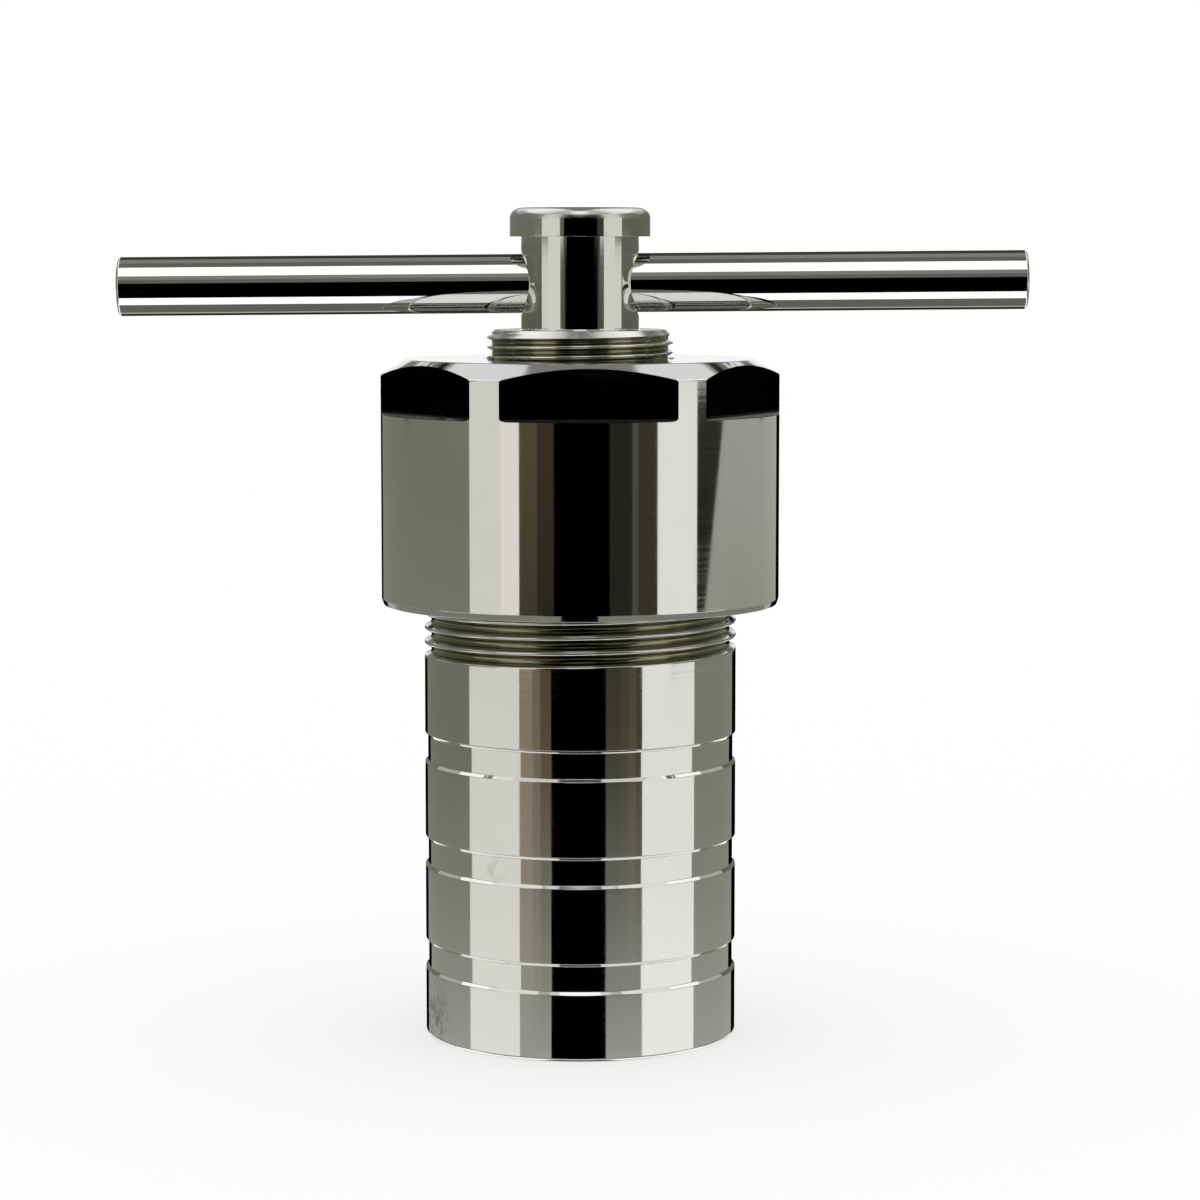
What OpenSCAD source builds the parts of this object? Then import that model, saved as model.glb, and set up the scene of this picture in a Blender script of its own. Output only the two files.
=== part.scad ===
// Hydrothermal reactor: a turned steel shell holds a PTFE cup with its lid. A screw-on cap
// carries a central pressure screw, and a sliding T-bar through the screw's neck turns it,
// so that a swivelling plate clamps the lid. Millimetres, +Z up. The origin is on the axis
// of the shell, in the plane that the reactor stands on, and the T-bar lies along X.

/* [Shell] */
// Outside diameter of the shell and of its thread
shell_d = 64; // [60:0.5:74]
// Thickness of the shell's floor
shell_floor_t = 9; // [6:0.5:16]
// Chamfer round the foot of the shell
shell_foot_chamfer = 0.5; // [0.3:0.1:2]
// Diameter of the hole in the floor through which the cup is pushed out
push_hole_d = 6; // [4:0.5:12]
// Height from the base to the middle of the lowest grip band
band_first_h = 16.6; // [8:0.2:26]
// Distance from one grip band to the next
band_pitch = 21.4; // [12:0.2:36]
// Width of a grip band, over its bevels
band_w = 6.4; // [3:0.1:8]
// Depth of a grip band
band_depth = 0.6; // [0.2:0.1:1.2]
// Width of the bevel at each edge of a grip band
band_bevel = 0.9; // [0.2:0.1:1.2]

/* [Cup and pads] */
// Outside diameter of the PTFE cup
cup_d = 50; // [42:0.5:52]
// Wall of the PTFE cup
cup_wall = 5; // [3:0.25:8]
// Floor of the PTFE cup
cup_floor_t = 8; // [5:0.5:14]
// Height of the PTFE cup
cup_h = 90; // [60:1:120]
// Radius between the cup's wall and its floor, inside
cup_inner_r = 5; // [1:0.5:8]
// Thickness of the lid's flange
lid_flange_t = 5; // [3:0.5:10]
// Depth that the lid's plug reaches into the cup
lid_plug_h = 6; // [3:0.5:12]
// Thickness of the steel pad under the cup
bottom_pad_t = 3; // [1.5:0.5:6]
// Thickness of the steel pad on the lid
top_pad_t = 2; // [1:0.5:5]
// Chamfer on the rims of the pads, the cup and the lid
rim_chamfer = 0.8; // [0.3:0.1:1]

/* [Pressure plate] */
// Thickness of the swivelling plate
plate_t = 10; // [9:0.5:16]
// Height of the plate's top over the rim of the shell
plate_proud = 1; // [0:0.5:4]
// Diameter of the recess in the plate that holds the retaining ring
plate_recess_d = 25; // [23.5:0.5:30]
// Depth of that recess
plate_recess_h = 4.5; // [4:0.25:6]

/* [Cap] */
// Outside diameter of the cap
cap_d = 81.5; // [79:0.5:96]
// Length of shell thread that the cap covers
cap_cover_h = 29; // [18:0.2:36]
// Length of shell thread left open below the cap
thread_open_h = 10.2; // [6:0.1:16]
// Thickness of the cap's top
cap_roof_t = 15; // [11:0.5:24]
// Distance across the six wrench flats
flats_af = 73.6; // [70:0.2:77]
// Height of the wrench flats, from their ledge to the cap's top
flats_h = 11.2; // [8:0.2:14]
// Radius that the cutter leaves between a flat and its ledge
flats_nose_r = 1.4; // [0.5:0.1:2.5]
// Turn of the flats about the axis, in degrees from facing -Y
flats_turn = 3; // [-30:1:30]
// Radius of the cap's level top face
cap_top_r = 35.3; // [30:0.1:36]
// Slope of the chamfer round the cap's top, in degrees
cap_top_slope = 30; // [15:1:45]
// Height of the slim bevel round the cap's lower edge
cap_foot_bevel_h = 1.2; // [0.5:0.1:4]
// Depth of that bevel
cap_foot_bevel = 0.5; // [0.2:0.1:2]

/* [Pressure screw] */
// Thread diameter of the pressure screw
screw_d = 38; // [36:0.5:44]
// Height of threaded screw left open above the cap when it is tight
screw_open_h = 5.9; // [3:0.1:12]
// Chamfer at the upper end of the screw's thread
screw_top_chamfer = 1.5; // [0.5:0.1:3]
// Axial travel of the screw, from tight to fully backed off
screw_travel = 4; // [2:0.5:10]
// Diameter of the neck that carries the T-bar
neck_d = 24; // [20:0.5:28]
// Length of the neck, from the thread to the collar
neck_h = 18.9; // [16:0.1:30]
// Diameter of the collar on the neck
collar_d = 28.7; // [25:0.1:36]
// Height of the collar
collar_h = 5.8; // [3:0.1:10]
// Radius round the collar's upper edge
collar_r = 2.2; // [0.5:0.1:2.6]
// Diameter of the nose that carries the plate
nose_d = 16; // [14:0.5:20]

/* [T-bar] */
// Diameter of the T-bar
bar_d = 12; // [8:0.5:13]
// Length of the T-bar
bar_l = 185; // [120:1:260]
// Shift of the T-bar's middle from the axis, along X
bar_shift = -1.5; // [-20:0.5:20]
// Tilt of the T-bar in the play of its hole, in degrees, its +X end up
bar_tilt = 0.45; // [0:0.05:0.5]
// Chamfer at each end of the T-bar
bar_end_chamfer = 0.6; // [0.2:0.1:1.5]

/* [Threads and play] */
// Pitch of the thread between shell and cap
shell_pitch = 3; // [2:0.5:4]
// Depth of the thread between shell and cap
shell_thread_depth = 1.4; // [0.8:0.1:1.6]
// Pitch of the pressure screw's thread
screw_pitch = 2; // [1.5:0.5:3]
// Depth of the pressure screw's thread
screw_thread_depth = 1; // [0.5:0.1:1.1]
// Width of a thread's crest, as a share of its pitch
thread_crest_share = 0.15; // [0.05:0.05:0.2]
// Radial play of a thread in its mating bore
thread_play = 0.3; // [0.2:0.05:0.5]
// Radial play of the cup, the pads and the plate in the shell
bore_play = 0.3; // [0.2:0.05:0.5]
// Radial play of the lid's plug in the cup
plug_play = 0.15; // [0.05:0.05:0.4]
// Radial play of the T-bar in its hole
bar_play = 0.25; // [0.2:0.05:0.5]
// Radial play of the nose in the plate
nose_play = 0.3; // [0.2:0.05:0.5]
// Axial play of the plate between the screw's shoulder and the ring
plate_play = 0.2; // [0.1:0.05:0.5]

/* [Retaining ring] */
// Thickness of the ring
ring_t = 1.2; // [0.8:0.1:1.6]
// Outside diameter of the ring
ring_d = 22; // [20.5:0.5:23]
// Depth of the ring's groove in the nose
ring_groove_depth = 0.8; // [0.4:0.1:1.2]
// Width of the gap in the ring
ring_gap = 5; // [3:0.5:8]

/* [Hidden] */
$fn = 96;
// Overlap that takes a cut cleanly through a face
cut = 1;
// Axial clearance between a ring and its groove, and under the nose
fit_gap = 0.1;
// Headroom left over the plate when the screw is fully backed off
stop_gap = 1;
// Width of the thread's crest at the shell's rim that the lead-in chamfer leaves
rim_land = 0.4;
// Chamfer on the mouth of a bore
mouth_chamfer = 1;
// Runout groove above the cap's inner thread: its length and extra depth
runout_l = 3.5;
runout_depth = 0.6;
// Countersink of the T-bar hole's mouths
hole_chamfer = 0.5;
// Angle between a thread's flank and a plane square to the axis, in degrees
flank_angle = 60;
flat_count = 6;
flat_step = 360 / flat_count;

bore_d = cup_d + 2 * bore_play;
cup_bore_d = cup_d - 2 * cup_wall;
cup_z = shell_floor_t + bottom_pad_t;
lid_z = cup_z + cup_h;
top_pad_z = lid_z + lid_flange_t;
plate_z = top_pad_z + top_pad_t;
shoulder_z = plate_z + plate_t;
shell_h = shoulder_z - plate_proud;
cap_z = shell_h - cap_cover_h;
thread_z = cap_z - thread_open_h;
cap_ceiling_z = shoulder_z + screw_travel + stop_gap;
cap_top_z = cap_ceiling_z + cap_roof_t;
cap_bore_d = shell_d + 2 * thread_play;
flats_z = cap_top_z - flats_h;
screw_thread_top_z = cap_top_z + screw_open_h;
screw_bore_d = screw_d + 2 * thread_play;
collar_z = screw_thread_top_z + neck_h;
bar_z = screw_thread_top_z + neck_h / 2;
bar_hole_d = bar_d + 2 * bar_play;
nose_hole_d = nose_d + 2 * nose_play;
recess_top_z = plate_z + plate_recess_h;
ring_z = recess_top_z - plate_play - ring_t;
nose_z = plate_z + fit_gap;
ring_bore_d = nose_d - 2 * ring_groove_depth;

// Profile of a turned groove with bevelled sides, from its lower to its upper edge
function groove(r, depth, z_low, z_high, bevel) = [
    [r, z_low], [r - depth, z_low + bevel], [r - depth, z_high - bevel], [r, z_high]
];

// Profile of a thread as turned ridges of one pitch, upwards from z_low, none past z_high
function thread_flank(depth) = depth / tan(flank_angle);
function thread_turns(z_low, z_high, pitch) = floor((z_high - z_low) / pitch);
function thread_profile(r, depth, pitch, z_low, z_high) = [
    for (turn = [0 : thread_turns(z_low, z_high, pitch) - 1])
        each groove(r, depth, z_low + turn * pitch,
                    z_low + (turn + 1 - thread_crest_share) * pitch, thread_flank(depth))
];

// Grip bands, as many as fit between the foot and the thread
function band_count() =
    1 + floor((thread_z - band_w - band_first_h) / band_pitch);
function band_profile() = [
    for (band = [0 : band_count() - 1])
        let (middle = band_first_h + band * band_pitch)
        each groove(shell_d / 2, band_depth, middle - band_w / 2, middle + band_w / 2,
                    band_bevel)
];

// A turned disc with the same chamfer on both rims
module disc(d, t, chamfer) {
    rotate_extrude()
        polygon([
            [0, 0], [d / 2 - chamfer, 0], [d / 2, chamfer],
            [d / 2, t - chamfer], [d / 2 - chamfer, t], [0, t]
        ]);
}

// A plug whose lower edge is rounded, open-ended upwards
module round_ended_plug(d, h, edge_r) {
    translate([0, 0, edge_r])
        cylinder(d = d, h = h - edge_r);
    cylinder(r = d / 2 - edge_r, h = h);
    translate([0, 0, edge_r])
        rotate_extrude()
            translate([d / 2 - edge_r, 0])
                circle(r = edge_r);
}

module shell_body() {
    r = shell_d / 2;
    lead_in = shell_thread_depth + rim_land;
    color("darkgray")
        rotate_extrude()
            polygon(concat(
                [[push_hole_d / 2, 0], [r - shell_foot_chamfer, 0], [r, shell_foot_chamfer]],
                band_profile(),
                thread_profile(r, shell_thread_depth, shell_pitch, thread_z, shell_h - lead_in),
                [
                    [r, shell_h - lead_in],
                    [r - lead_in, shell_h],
                    [bore_d / 2 + mouth_chamfer, shell_h],
                    [bore_d / 2, shell_h - mouth_chamfer],
                    [bore_d / 2, shell_floor_t],
                    [push_hole_d / 2, shell_floor_t]
                ]
            ));
}

module bottom_pad() {
    color("silver")
        translate([0, 0, shell_floor_t])
            disc(cup_d, bottom_pad_t, rim_chamfer / 2);
}

module liner_cup() {
    color("white")
        translate([0, 0, cup_z])
            difference() {
                disc(cup_d, cup_h, rim_chamfer);
                translate([0, 0, cup_floor_t])
                    round_ended_plug(cup_bore_d, cup_h, cup_inner_r);
                translate([0, 0, cup_h - rim_chamfer])
                    cylinder(d1 = cup_bore_d, d2 = cup_bore_d + 2 * (rim_chamfer + cut),
                             h = rim_chamfer + cut);
            }
}

module liner_lid() {
    plug_r = cup_bore_d / 2 - plug_play;
    color("white")
        translate([0, 0, lid_z]) {
            disc(cup_d, lid_flange_t, rim_chamfer);
            rotate_extrude()
                polygon([
                    [0, -lid_plug_h], [plug_r - rim_chamfer, -lid_plug_h],
                    [plug_r, rim_chamfer - lid_plug_h], [plug_r, rim_chamfer],
                    [0, rim_chamfer]
                ]);
        }
}

module top_pad() {
    color("silver")
        translate([0, 0, top_pad_z])
            disc(cup_d, top_pad_t, rim_chamfer / 2);
}

// The plate turns freely on the nose and is held up by the ring in its recess
module pressure_plate() {
    color("silver")
        translate([0, 0, plate_z])
            difference() {
                disc(cup_d, plate_t, rim_chamfer);
                translate([0, 0, -cut])
                    cylinder(d = nose_hole_d, h = plate_t + 2 * cut);
                translate([0, 0, -cut])
                    cylinder(d = plate_recess_d, h = plate_recess_h + cut);
            }
}

// What the milling cutter takes off for one wrench flat, facing +X
module flat_cut() {
    reach = cap_d;
    translate([flats_af / 2 + flats_nose_r, -reach / 2, flats_z])
        cube([reach, reach, reach]);
    translate([flats_af / 2, -reach / 2, flats_z + flats_nose_r])
        cube([reach, reach, reach]);
    translate([flats_af / 2 + flats_nose_r, 0, flats_z + flats_nose_r])
        rotate([90, 0, 0])
            cylinder(r = flats_nose_r, h = reach, center = true);
}

// Turned outside of the cap, before its flats are milled
module cap_blank() {
    r = cap_d / 2;
    rotate_extrude()
        polygon([
            [0, cap_z], [r - cap_foot_bevel, cap_z], [r, cap_z + cap_foot_bevel_h],
            [r, cap_top_z - (r - cap_top_r) * tan(cap_top_slope)],
            [cap_top_r, cap_top_z], [0, cap_top_z]
        ]);
}

// Bored inside of the cap: the shell's bore with its runout, and the screw's bore
module cap_bores() {
    shell_r = cap_bore_d / 2;
    screw_r = screw_bore_d / 2;
    rotate_extrude()
        polygon([
            [0, cap_z - cut],
            [shell_r + mouth_chamfer + cut, cap_z - cut],
            [shell_r, cap_z + mouth_chamfer],
            [shell_r, cap_ceiling_z - runout_l],
            [shell_r + runout_depth, cap_ceiling_z - runout_l + runout_depth],
            [shell_r + runout_depth, cap_ceiling_z],
            [screw_r + mouth_chamfer, cap_ceiling_z],
            [screw_r, cap_ceiling_z + mouth_chamfer],
            [screw_r, cap_top_z - mouth_chamfer / 2],
            [screw_r + mouth_chamfer / 2 + cut, cap_top_z + cut],
            [0, cap_top_z + cut]
        ]);
}

module cap() {
    color("gray")
        difference() {
            cap_blank();
            cap_bores();
            for (side = [0 : flat_count - 1])
                rotate([0, 0, flats_turn - 90 + side * flat_step])
                    flat_cut();
        }
}

// The neck's collar, with its upper edge rounded
module collar() {
    translate([0, 0, collar_z]) {
        cylinder(d = collar_d, h = collar_h - collar_r);
        cylinder(r = collar_d / 2 - collar_r, h = collar_h);
        translate([0, 0, collar_h - collar_r])
            rotate_extrude()
                translate([collar_d / 2 - collar_r, 0])
                    circle(r = collar_r);
    }
}

// Cross hole for the T-bar, countersunk where it leaves the neck
module bar_hole() {
    mouth = neck_d / 2 - hole_chamfer;
    translate([0, 0, bar_z])
        rotate([0, 90, 0])
            cylinder(d = bar_hole_d, h = neck_d + 2 * cut, center = true);
    for (side = [0, 1])
        rotate([0, 0, 180 * side])
            translate([mouth, 0, bar_z])
                rotate([0, 90, 0])
                    cylinder(r1 = bar_hole_d / 2, r2 = bar_hole_d / 2 + hole_chamfer + cut,
                             h = hole_chamfer + cut);
}

// Nose, thread and neck are turned in one piece with the collar
module pressure_screw() {
    r = screw_d / 2;
    low_r = r - screw_thread_depth;
    groove_top_z = ring_z + ring_t;
    thread_low_z = shoulder_z + screw_thread_depth;
    thread_high_z = screw_thread_top_z - screw_top_chamfer;
    color("lightgray")
        difference() {
            union() {
                rotate_extrude()
                    polygon(concat(
                        [
                            [0, nose_z],
                            [nose_d / 2 - fit_gap, nose_z],
                            [nose_d / 2, nose_z + fit_gap],
                            [nose_d / 2, ring_z - fit_gap],
                            [ring_bore_d / 2, ring_z - fit_gap],
                            [ring_bore_d / 2, groove_top_z],
                            [nose_d / 2, groove_top_z],
                            [nose_d / 2, shoulder_z],
                            [low_r, shoulder_z]
                        ],
                        thread_profile(r, screw_thread_depth, screw_pitch, thread_low_z,
                                       thread_high_z),
                        [
                            [r, thread_high_z],
                            [r - screw_top_chamfer, screw_thread_top_z],
                            [neck_d / 2, screw_thread_top_z],
                            [neck_d / 2, collar_z + cut],
                            [0, collar_z + cut]
                        ]
                    ));
                collar();
            }
            bar_hole();
        }
}

// Snap ring in the nose's groove, cut open on one side
module retaining_ring() {
    color("dimgray")
        translate([0, 0, ring_z])
            difference() {
                cylinder(d = ring_d, h = ring_t);
                translate([0, 0, -cut])
                    cylinder(d = ring_bore_d + 2 * fit_gap, h = ring_t + 2 * cut);
                translate([0, -ring_gap / 2, -cut])
                    cube([ring_d, ring_gap, ring_t + 2 * cut]);
            }
}

module t_bar() {
    color("lightgray")
        translate([0, 0, bar_z])
            rotate([0, 90 - bar_tilt, 0])
                translate([0, 0, bar_shift - bar_l / 2])
                    disc(bar_d, bar_l, bar_end_chamfer);
}

shell_body();
bottom_pad();
liner_cup();
liner_lid();
top_pad();
cap();
pressure_plate();
pressure_screw();
retaining_ring();
t_bar();
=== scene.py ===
"""Hydrothermal reactor: a polished steel shell with its screw-on cap, pressure screw and T-bar.
Sections follow the reactor as it is put together, from the shell up. Sizes are in millimetres,
times MM."""

import math

import bpy
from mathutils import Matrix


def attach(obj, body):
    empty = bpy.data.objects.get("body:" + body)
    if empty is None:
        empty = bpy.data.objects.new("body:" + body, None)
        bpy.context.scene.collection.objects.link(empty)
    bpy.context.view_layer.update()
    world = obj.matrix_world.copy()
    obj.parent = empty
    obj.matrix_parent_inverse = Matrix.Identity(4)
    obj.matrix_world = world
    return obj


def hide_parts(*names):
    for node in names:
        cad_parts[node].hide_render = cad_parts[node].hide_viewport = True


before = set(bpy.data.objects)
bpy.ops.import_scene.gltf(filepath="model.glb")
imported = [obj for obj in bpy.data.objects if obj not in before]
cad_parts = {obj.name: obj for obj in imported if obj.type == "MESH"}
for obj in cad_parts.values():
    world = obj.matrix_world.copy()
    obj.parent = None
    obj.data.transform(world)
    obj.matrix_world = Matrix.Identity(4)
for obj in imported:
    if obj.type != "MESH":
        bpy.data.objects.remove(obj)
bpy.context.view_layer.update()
MM = 0.001

# ------------------------------------------------------------------------------------------------
# Shell: a cup bored from a bar of 304 stainless steel and polished on the lathe. Its upper third
# carries the thread for the cap, which runs out round the back, and three shallow grip bands with
# sloping sides are turned in below it.

SHELL_R = 32.0
SHELL_TOP_Z = 118.0
SHELL_BORE_R = 25.3
SHELL_FLOOR_Z = 9.0
PUSH_HOLE_R = 3.0
FOOT_CHAMFER = 0.5
BAND_LOW_Z, BAND_PITCH, BAND_COUNT = 16.6, 21.4, 3
BAND_W, BAND_DEPTH, BAND_BEVEL = 6.3, 0.6, 0.6
BAND_EDGE = 0.06            # rounding of the bands' edges
MOUTH_CHAMFER = 1.0
LATHE_STEPS = 180           # facets round a turned piece
ROUND_STEPS = 4             # facets in a small round
WELD = 0.002 * MM           # vertices closer than this are one
SMOOTH_ANGLE = 20           # degrees; a sharper fold is drawn as an edge
BRIDGE_REACH = 0.1          # how far past a gap its open edges may lie

SHELL_PITCH = 3.0
SHELL_THREAD_DEPTH = 1.4
SHELL_TOOTH = (0.45, 0.22, 0.3)     # crest width, and the rounding of crest and root
SHELL_JOIN_Z, SHELL_JOIN_GAP = 74.5, 0.5    # where the thread takes over from the plain shell
SHELL_GROOVE_Z = 77.35      # middle of the last groove where it faces -Y
SHELL_RUNOUT = (95.0, 230.0)   # the groove deepens over these degrees round the axis
SHELL_LEAD_Z = 116.2        # the rim's lead-in chamfer starts here


def pick_only(piece):
    """Selects one piece and nothing else."""
    bpy.ops.object.select_all(action="DESELECT")
    piece.select_set(True)
    bpy.context.view_layer.objects.active = piece


def draw_section(name, points):
    """A half section drawn point by point from (radius, height) in mm, in the plane of X and Z."""
    bpy.ops.object.select_all(action="DESELECT")
    bpy.ops.mesh.primitive_plane_add(size=MM)
    piece = bpy.context.object
    piece.name = piece.data.name = name
    bpy.ops.object.mode_set(mode="EDIT")
    bpy.ops.mesh.select_mode(type="VERT")
    bpy.ops.mesh.select_all(action="SELECT")
    bpy.ops.mesh.merge(type="CENTER")
    at = (0.0, 0.0)
    for index, point in enumerate(points):
        move = ((point[0] - at[0]) * MM, 0.0, (point[1] - at[1]) * MM)
        if index == 0:
            bpy.ops.transform.translate(value=move)
        else:
            bpy.ops.mesh.extrude_region_move(TRANSFORM_OT_translate={"value": move})
        at = point
    bpy.ops.object.mode_set(mode="OBJECT")
    return piece


def turn(piece, steps=LATHE_STEPS):
    """Spins the half section once round the axis, welds the seam and closes the poles."""
    pick_only(piece)
    bpy.ops.object.mode_set(mode="EDIT")
    bpy.ops.mesh.select_all(action="SELECT")
    bpy.ops.mesh.spin(steps=steps, angle=math.tau, center=(0, 0, 0), axis=(0, 0, 1))
    bpy.ops.mesh.select_all(action="SELECT")
    bpy.ops.mesh.remove_doubles(threshold=WELD)
    bpy.ops.object.mode_set(mode="OBJECT")


def corner(before, at, after, reach, steps=ROUND_STEPS):
    """Points that round one corner of a section, from reach before it to reach after it."""
    def towards(other):
        span = math.dist(at, other)
        return [at[k] + (other[k] - at[k]) * reach / span for k in (0, 1)]
    start, end = towards(before), towards(after)
    made = []
    for step in range(steps + 1):
        t = step / steps
        made.append(tuple((1 - t) ** 2 * start[k] + 2 * t * (1 - t) * at[k] + t * t * end[k]
                          for k in (0, 1)))
    return made


def rounded(points, reaches):
    """A section with its corners rounded: one reach for each point, 0 where it stays sharp."""
    made = []
    for index, point in enumerate(points):
        if reaches[index]:
            made += corner(points[index - 1], point, points[index + 1], reaches[index])
        else:
            made.append(point)
    return made


def thread_tooth(crest_r, root_r, pitch, crest_w, crest_reach, root_reach):
    """One pitch of a 60 degree thread from the middle of a groove to the middle of the next."""
    flank = abs(crest_r - root_r) * math.tan(math.radians(30))
    low, high = pitch / 2 - crest_w / 2, pitch / 2 + crest_w / 2
    return rounded(
        [(root_r, 0), (root_r, low - flank), (crest_r, low), (crest_r, high),
         (root_r, high + flank), (root_r, pitch)],
        [0, root_reach, crest_reach, crest_reach, root_reach, 0])


def cut_thread(name, tooth, pitch, groove_z, z_low, z_high):
    """Winds the tooth up a right-handed helix, a turn or more past both ends.
    groove_z is the middle of a groove where it faces -Y."""
    first = groove_z + pitch / 4            # the section is drawn facing +X, a quarter turn on
    first -= pitch * math.ceil((first - z_low) / pitch + 1)
    turns = math.ceil((z_high - first) / pitch) + 1
    piece = draw_section(name, [(r, z + first) for r, z in tooth])
    pick_only(piece)
    wind = piece.modifiers.new("Helix", "SCREW")
    wind.angle = math.tau
    wind.screw_offset = pitch * MM
    wind.iterations = turns
    wind.steps = wind.render_steps = LATHE_STEPS
    bpy.ops.object.modifier_apply(modifier=wind.name)
    bpy.ops.object.mode_set(mode="EDIT")
    bpy.ops.mesh.select_all(action="SELECT")
    bpy.ops.mesh.remove_doubles(threshold=WELD)
    bpy.ops.object.mode_set(mode="OBJECT")
    return piece


def trim(piece, z, keep_above):
    """Cuts a piece level at height z in mm and throws one side away."""
    pick_only(piece)
    bpy.ops.object.mode_set(mode="EDIT")
    bpy.ops.mesh.select_all(action="SELECT")
    bpy.ops.mesh.bisect(plane_co=(0, 0, z * MM), plane_no=(0, 0, 1), threshold=WELD / 20,
                        clear_inner=keep_above, clear_outer=not keep_above)
    bpy.ops.object.mode_set(mode="OBJECT")


def reshape(piece, radius_at):
    """Moves every vertex to the radius that radius_at(radius, degrees, z) gives, all in mm.
    Degrees run from -Y round by +X."""
    for vertex in piece.data.vertices:
        x, y, z = (value / MM for value in vertex.co)
        r = math.hypot(x, y)
        new_r = radius_at(r, math.degrees(math.atan2(x, -y)) % 360, z)
        vertex.co.x, vertex.co.y = x * new_r / r * MM, y * new_r / r * MM


def smooth_step(t):
    t = min(max(t, 0.0), 1.0)
    return t * t * (3 - 2 * t)


def run_out(groove_z, pitch, crest_r, span):
    """Radius rule for a groove that fades in over span, in degrees from where it faces -Y."""
    def radius_at(r, degrees, z):
        wound = degrees + 360 * round((z - groove_z - pitch * degrees / 360) / pitch)
        return crest_r + (r - crest_r) * smooth_step((wound - span[0]) / (span[1] - span[0]))
    return radius_at


def join_pieces(first, *others):
    """Joins meshes into the first one."""
    pick_only(first)
    for other in others:
        other.select_set(True)
    bpy.ops.object.join()
    return first


def bridge(piece, z_low, z_high):
    """Closes the gap between the two open edges that lie at about these heights."""
    z_low, z_high = z_low - BRIDGE_REACH, z_high + BRIDGE_REACH
    pick_only(piece)
    bpy.ops.object.mode_set(mode="EDIT")
    bpy.ops.mesh.select_mode(type="EDGE")
    bpy.ops.mesh.select_all(action="DESELECT")
    bpy.ops.mesh.select_non_manifold(extend=False)
    bpy.ops.object.mode_set(mode="OBJECT")
    heights = [vertex.co.z / MM for vertex in piece.data.vertices]
    for edge in piece.data.edges:
        if edge.select and not all(z_low <= heights[v] <= z_high for v in edge.vertices):
            edge.select = False
    for vertex in piece.data.vertices:
        vertex.select = False
    for edge in piece.data.edges:
        if edge.select:
            for v in edge.vertices:
                piece.data.vertices[v].select = True
    bpy.ops.object.mode_set(mode="EDIT")
    bpy.ops.mesh.bridge_edge_loops()
    bpy.ops.object.mode_set(mode="OBJECT")


def finish_mesh(piece, body, slot, *nodes):
    """Turns the faces outwards, shades the piece, and hands it to its body."""
    pick_only(piece)
    bpy.ops.object.mode_set(mode="EDIT")
    bpy.ops.mesh.select_mode(type="VERT")
    bpy.ops.mesh.select_all(action="SELECT")
    bpy.ops.mesh.normals_make_consistent(inside=False)
    bpy.ops.object.mode_set(mode="OBJECT")
    bpy.ops.object.shade_smooth_by_angle(angle=math.radians(SMOOTH_ANGLE))
    weigh = piece.modifiers.new("Weigh", "WEIGHTED_NORMAL")
    weigh.mode = "FACE_AREA"
    weigh.weight = 50
    weigh.keep_sharp = True
    bpy.ops.object.modifier_apply(modifier=weigh.name)
    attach(piece, body)
    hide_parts(*nodes)


def give_material(piece, material, *others):
    """Gives a piece its material, and slots for others."""
    piece.data.materials.clear()
    for each in (material, *others):
        piece.data.materials.append(each)


THREAD_SLOT = 1             # the thread's place among the materials of a threaded piece


def paint_faces(piece, index, is_theirs):
    """Gives a slot's material to the faces for which is_theirs(radius, z, face) holds, in mm."""
    for face in piece.data.polygons:
        x, y, z = (value / MM for value in face.center)
        if is_theirs(math.hypot(x, y), z, face):
            face.material_index = index


def band_section(middle):
    """A grip band's section, from its lower to its upper edge, with a slope at each."""
    low, high, floor_r = middle - BAND_W / 2, middle + BAND_W / 2, SHELL_R - BAND_DEPTH
    return rounded(
        [(SHELL_R, low - 1), (SHELL_R, low), (floor_r, low + BAND_BEVEL),
         (floor_r, high - BAND_BEVEL), (SHELL_R, high), (SHELL_R, high + 1)],
        [0, BAND_EDGE, BAND_EDGE, BAND_EDGE, BAND_EDGE, 0])


shell_rim_r = SHELL_R - (SHELL_TOP_Z - SHELL_LEAD_Z)
section = rounded(
    [(shell_rim_r, SHELL_TOP_Z), (SHELL_BORE_R + MOUTH_CHAMFER, SHELL_TOP_Z),
     (SHELL_BORE_R, SHELL_TOP_Z - MOUTH_CHAMFER), (SHELL_BORE_R, SHELL_FLOOR_Z),
     (PUSH_HOLE_R, SHELL_FLOOR_Z), (PUSH_HOLE_R, 0), (SHELL_R - FOOT_CHAMFER, 0),
     (SHELL_R, FOOT_CHAMFER), (SHELL_R, FOOT_CHAMFER + 2)],
    [0, 0.1, 0.1, 0, 0, 0, 0.2, 0.2, 0])
for band in range(BAND_COUNT):
    section += band_section(BAND_LOW_Z + band * BAND_PITCH)
section.append((SHELL_R, SHELL_JOIN_Z))
shell = draw_section("shell_turning", section)
turn(shell)
shell_thread = cut_thread(
    "shell_thread",
    thread_tooth(SHELL_R, SHELL_R - SHELL_THREAD_DEPTH, SHELL_PITCH, *SHELL_TOOTH),
    SHELL_PITCH, SHELL_GROOVE_Z, SHELL_JOIN_Z, SHELL_TOP_Z)
reshape(shell_thread, run_out(SHELL_GROOVE_Z, SHELL_PITCH, SHELL_R, SHELL_RUNOUT))
reshape(shell_thread, lambda r, degrees, z: min(r, SHELL_R - max(0, z - SHELL_LEAD_Z)))
trim(shell_thread, SHELL_JOIN_Z + SHELL_JOIN_GAP, keep_above=True)
trim(shell_thread, SHELL_TOP_Z - 0.01, keep_above=False)
join_pieces(shell, shell_thread)
bridge(shell, SHELL_JOIN_Z, SHELL_JOIN_Z + SHELL_JOIN_GAP)
bridge(shell, SHELL_TOP_Z, SHELL_TOP_Z)
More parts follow.
